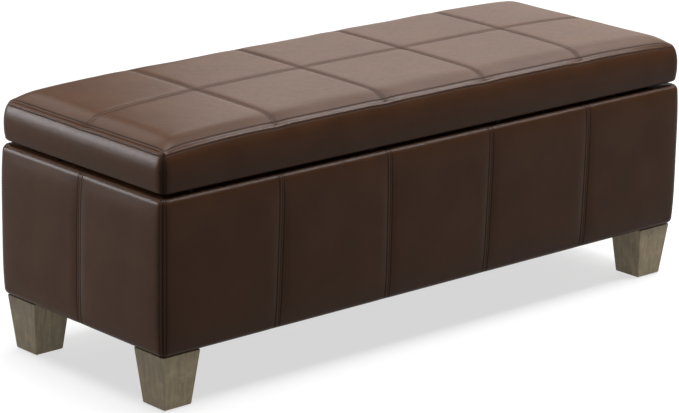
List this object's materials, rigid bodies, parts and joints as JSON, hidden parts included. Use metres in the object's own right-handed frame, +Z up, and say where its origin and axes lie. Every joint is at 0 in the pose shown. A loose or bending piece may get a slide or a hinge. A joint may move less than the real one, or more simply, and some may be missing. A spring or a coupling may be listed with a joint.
{
  "type": "storage bench",
  "caption": "Long upholstered storage bench: padded box on tapered square wooden legs, with a cushioned lid that hinges up at the rear on soft-close stays.",
  "frame": {"origin": "on the floor, under the middle of the bench", "axes": "+X along the length to the right of someone facing the front, -Y towards the front, +Y towards the hinged rear, +Z up"},
  "size_m": [1.22, 0.444, 0.4605],
  "materials": {
    "faux_leather": "satin",
    "foam": "matte",
    "lining_fabric": "matte",
    "board_wood": "matte",
    "leg_wood": "satin",
    "hinge_steel": "satin",
    "fastener_steel": "satin",
    "stay_steel": "satin",
    "stay_bracket_metal": "satin",
    "damper_plastic": "matte",
    "glide_plastic": "matte",
    "bumper_rubber": "matte"
  },
  "bodies": {
    "base": {"front_panel": "board_wood", "rear_panel": "board_wood", "left_end_panel": "board_wood", "right_end_panel": "board_wood", "storage_floor": "board_wood", "floor_cleat_front": "board_wood", "floor_cleat_rear": "board_wood", "hinge_rail": "board_wood", "corner_block_front_left": "board_wood", "corner_block_front_right": "board_wood", "corner_block_rear_left": "board_wood", "corner_block_rear_right": "board_wood", "leg_front_left": "leg_wood", "leg_front_right": "leg_wood", "leg_rear_left": "leg_wood", "leg_rear_right": "leg_wood", "leg_hanger_bolts": "fastener_steel", "leg_tee_nuts": "fastener_steel", "leg_glides": "glide_plastic", "panel_screws": "fastener_steel", "base_foam_front": "foam", "base_foam_rear": "foam", "base_foam_left": "foam", "base_foam_right": "foam", "base_cover_front": "faux_leather", "base_cover_rear": "faux_leather", "base_cover_left": "faux_leather", "base_cover_right": "faux_leather", "wall_lining": "lining_fabric", "floor_lining": "lining_fabric", "dust_cover": "lining_fabric", "hinge_base_leaf_left": "hinge_steel", "hinge_base_leaf_middle": "hinge_steel", "hinge_base_leaf_right": "hinge_steel", "hinge_pins": "fastener_steel", "base_hardware_screws": "fastener_steel", "rim_bumpers": "bumper_rubber", "stay_plate_left": "stay_bracket_metal", "stay_plate_right": "stay_bracket_metal", "stay_damper_left": "damper_plastic", "stay_damper_right": "damper_plastic"},
    "lid": {"lid_board": "board_wood", "lid_foam": "foam", "lid_cover_top": "faux_leather", "lid_band_front": "faux_leather", "lid_band_rear": "faux_leather", "lid_band_left": "faux_leather", "lid_band_right": "faux_leather", "lid_underlining": "lining_fabric", "hinge_lid_leaf_left": "hinge_steel", "hinge_lid_leaf_middle": "hinge_steel", "hinge_lid_leaf_right": "hinge_steel", "stay_bracket_left": "stay_bracket_metal", "stay_bracket_right": "stay_bracket_metal", "lid_hardware_screws": "fastener_steel"},
    "stay_arm_left": {"stay_arm_left": "stay_steel"},
    "stay_link_left": {"stay_link_left": "stay_steel"},
    "stay_arm_right": {"stay_arm_right": "stay_steel"},
    "stay_link_right": {"stay_link_right": "stay_steel"}
  },
  "joints": [
    {"name": "lid_hinge", "type": "hinge", "parent": "base", "child": "lid", "pos_m": [0, 0.21875, 0.37], "axis": [-1, 0, 0], "range_deg": [0, 85]},
    {"name": "stay_arm_left_pivot", "type": "hinge", "parent": "base", "child": "stay_arm_left", "pos_m": [-0.572, 0.15875, 0.31], "axis": [-1, 0, 0], "range_deg": [0, 85]},
    {"name": "stay_elbow_left", "type": "hinge", "parent": "stay_arm_left", "child": "stay_link_left", "pos_m": [-0.5685, 0.00983, 0.292], "axis": [-1, 0, 0], "range_deg": [-85, 0]},
    {"name": "stay_arm_right_pivot", "type": "hinge", "parent": "base", "child": "stay_arm_right", "pos_m": [0.572, 0.15875, 0.31], "axis": [-1, 0, 0], "range_deg": [0, 85]},
    {"name": "stay_elbow_right", "type": "hinge", "parent": "stay_arm_right", "child": "stay_link_right", "pos_m": [0.5685, 0.00983, 0.292], "axis": [-1, 0, 0], "range_deg": [-85, 0]}
  ],
  "couplings": [
    {"joint": "stay_arm_left_pivot", "follows": "lid_hinge", "ratio": 1},
    {"joint": "stay_elbow_left", "follows": "lid_hinge", "ratio": -1},
    {"joint": "stay_arm_right_pivot", "follows": "lid_hinge", "ratio": 1},
    {"joint": "stay_elbow_right", "follows": "lid_hinge", "ratio": -1}
  ]
}
